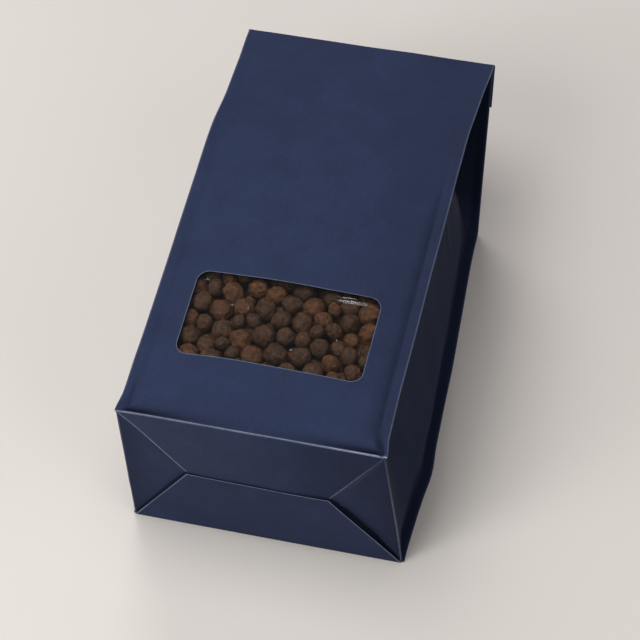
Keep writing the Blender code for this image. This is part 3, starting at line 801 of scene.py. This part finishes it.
clear_selection()
for number in range(KIBBLE_COUNT):
    near = spot[number, 2] + radius[number] > -KIBBLE_NEAR
    ball = balls[0] if near else balls[1]
    piece = ball.copy()
    piece.data = ball.data.copy()
    bpy.context.scene.collection.objects.link(piece)
    smooth = np.empty(len(piece.data.vertices) * 3)
    piece.data.vertices.foreach_get("co", smooth)
    smooth = smooth.reshape(-1, 3)
    pick = np.random.RandomState(100 + number)
    lump, fine = lumps(smooth, 9.0, 400 + number), lumps(smooth, 24.0, 600 + number)
    grow = 1 + 0.070 * lumps(smooth, 3.0, 200 + number) + 0.036 * lump + 0.018 * fine
    shape = smooth * grow[:, None] * (1.0, pick.uniform(0.84, 1.0), pick.uniform(0.80, 1.0))
    turn, _ = np.linalg.qr(pick.normal(size=(3, 3)))
    shape = shape @ turn.T * radius[number]
    x, s = spot[number, 0] + CUT_SHIFT, spot[number, 1] + CUT_START + CUT_LENGTH / 2
    rim = min(CUT_WIDTH / 2 - abs(spot[number, 0]), CUT_LENGTH / 2 - abs(spot[number, 1]))
    ceiling = float(front_height(s) + panel_relief(x, s)) - SHEET - 0.0012 - 0.0022 * (1 - float(ease(rim, 0.0, 0.010)))
    shape = shape + (x, s - LENGTH / 2, ceiling + spot[number, 2] + radius[number] - shape[:, 2].max())
    piece.data.vertices.foreach_set("co", shape.ravel())
    tone = piece.data.attributes.new("tone", "FLOAT", "POINT")
    tone.data.foreach_set("value", np.full(len(smooth), pick.uniform(0, 1)))
    # Painted shade in each piece's hollows and a paler painted tone on its lumps
    painted_hollow_layer = piece.data.attributes.new("painted_hollow_shade", "FLOAT", "POINT")
    painted_hollow_layer.data.foreach_set("value", 0.5 + 0.5 * np.clip(0.6 * lump + 0.4 * fine, -1, 1))
    piece.select_set(True)
bpy.context.view_layer.objects.active = piece
bpy.ops.object.join()
for ball in balls:
    bpy.data.objects.remove(ball)
kibbles = bpy.context.object
kibbles.name = "kibbles"
bpy.ops.object.mode_set(mode="EDIT")
bpy.ops.mesh.select_all(action="SELECT")
bpy.ops.mesh.normals_make_consistent(inside=False)
bpy.ops.object.mode_set(mode="OBJECT")
kibbles.data.shade_smooth()

kibble_crust, tree, shader = new_material("baked_kibble_crust")
place = add(tree, "ShaderNodeTexCoord").outputs["Object"]
tone = add(tree, "ShaderNodeAttribute", {"attribute_name": "tone"})
shades = add(tree, "ShaderNodeValToRGB", Fac=tone.outputs["Fac"])
ramp = shades.color_ramp
ramp.elements[0].color = linear("#5d412d")
ramp.elements[1].color = linear("#7e5233")
middle = ramp.elements.new(0.55)
middle.color = linear("#664832")
bran = add(tree, "ShaderNodeTexNoise", Vector=place, Scale=900.0, Detail=4.0, Roughness=0.6)
specks = add(tree, "ShaderNodeMapRange", Value=bran.outputs["Fac"], From_Min=0.35, From_Max=0.7, To_Min=0.66, To_Max=1.32)
# Painted shade in the hollows of each piece, paler on its lumps
painted_hollow_shade = add(tree, "ShaderNodeAttribute", {"attribute_name": "painted_hollow_shade"})
hollow = add(tree, "ShaderNodeMapRange", Value=painted_hollow_shade.outputs["Fac"], From_Min=0.1, From_Max=0.8, To_Min=0.55, To_Max=1.18)
both = add(tree, "ShaderNodeMath", {"operation": "MULTIPLY"}, _0=specks.outputs[0], _1=hollow.outputs[0])
shade = add(tree, "ShaderNodeVectorMath", {"operation": "SCALE"}, _0=shades.outputs["Color"], Scale=both.outputs[0])
tree.links.new(shade.outputs["Vector"], shader.inputs["Base Color"])
shader.inputs["Roughness"].default_value = 0.44
shader.inputs["Specular IOR Level"].default_value = 0.5
crumb = add(tree, "ShaderNodeTexNoise", Vector=place, Scale=650.0, Detail=5.0, Roughness=0.75)
rough = add(tree, "ShaderNodeBump", Height=crumb.outputs["Fac"], Strength=1.0, Distance=0.0011)
tree.links.new(rough.outputs["Normal"], shader.inputs["Normal"])
kibbles.data.materials.append(kibble_crust)
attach(kibbles, "root")
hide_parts("kibble_fill")

# The window film
# A clear cast polypropylene patch, glued behind the cut-out. It is a little slack, so it takes soft dents from
# the kibble and a few wrinkles near one corner that catch the light.
FILM_MARGIN = 0.006
clear_selection()
bpy.ops.mesh.primitive_grid_add(x_subdivisions=330, y_subdivisions=190, size=1)
film = bpy.context.object
film.name = "film_patch"
count = len(film.data.vertices)
flat = np.empty(count * 3)
film.data.vertices.foreach_get("co", flat)
flat = flat.reshape(-1, 3)
x = CUT_SHIFT + flat[:, 0] * (CUT_WIDTH + 2 * FILM_MARGIN)
s = CUT_START + CUT_LENGTH / 2 + flat[:, 1] * (CUT_LENGTH + 2 * FILM_MARGIN)
slack = ease(-outside_cut(x * stretch, s), 0.0, 0.010)
dip = 0.00010 * ripple(x, s, 0.026, 50) * slack
# A wrinkle near the far right corner, with a hollow below it, and a few small dents from sharp crumbs
crest, run = along(x, s, (CUT_SHIFT + 0.0265, CUT_START + 0.0500), (CUT_SHIFT + 0.0455, CUT_START + 0.0512))
dip = dip + 0.00036 * np.exp(-(crest / 0.0016) ** 2) * np.sin(np.pi * np.clip(run, 0.02, 0.98)) ** 0.5
valley, run = along(x, s, (CUT_SHIFT + 0.0300, CUT_START + 0.0480), (CUT_SHIFT + 0.0430, CUT_START + 0.0487))
dip = dip - 0.00022 * np.exp(-(valley / 0.0026) ** 2)
for dent_x, dent_s in ((-0.0470, 0.0505), (-0.0195, 0.0345), (-0.0290, 0.0360), (0.0100, 0.0120), (0.0330, 0.0230)):
    far = np.hypot(x - dent_x, s - CUT_START - dent_s)
    dip = dip - 0.00016 * np.exp(-(far / 0.0009) ** 2)
z = front_height(s) + panel_relief(x, s) - SHEET - 0.0002 + dip
film.data.vertices.foreach_set("co", np.stack([x, s - LENGTH / 2, z], axis=1).ravel())
film.data.shade_smooth()
clear_film, tree, shader = new_material("clear_cast_polypropylene")
tree.nodes.remove(shader)
see = add(tree, "ShaderNodeBsdfTransparent")
gloss = add(tree, "ShaderNodeBsdfGlossy", Roughness=0.12)
rim = add(tree, "ShaderNodeFresnel", IOR=1.49)
clear = add(tree, "ShaderNodeMixShader", Fac=rim.outputs["Fac"], _1=see.outputs[0], _2=gloss.outputs[0])
haze = add(tree, "ShaderNodeBsdfDiffuse", Color=linear("#c9ccd2"))
film_surface = add(tree, "ShaderNodeMixShader", Fac=0.006, _1=clear.outputs[0], _2=haze.outputs[0])
tree.links.new(film_surface.outputs[0], tree.nodes["Material Output"].inputs["Surface"])
film.data.materials.append(clear_film)
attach(film, "root")
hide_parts("window_film")
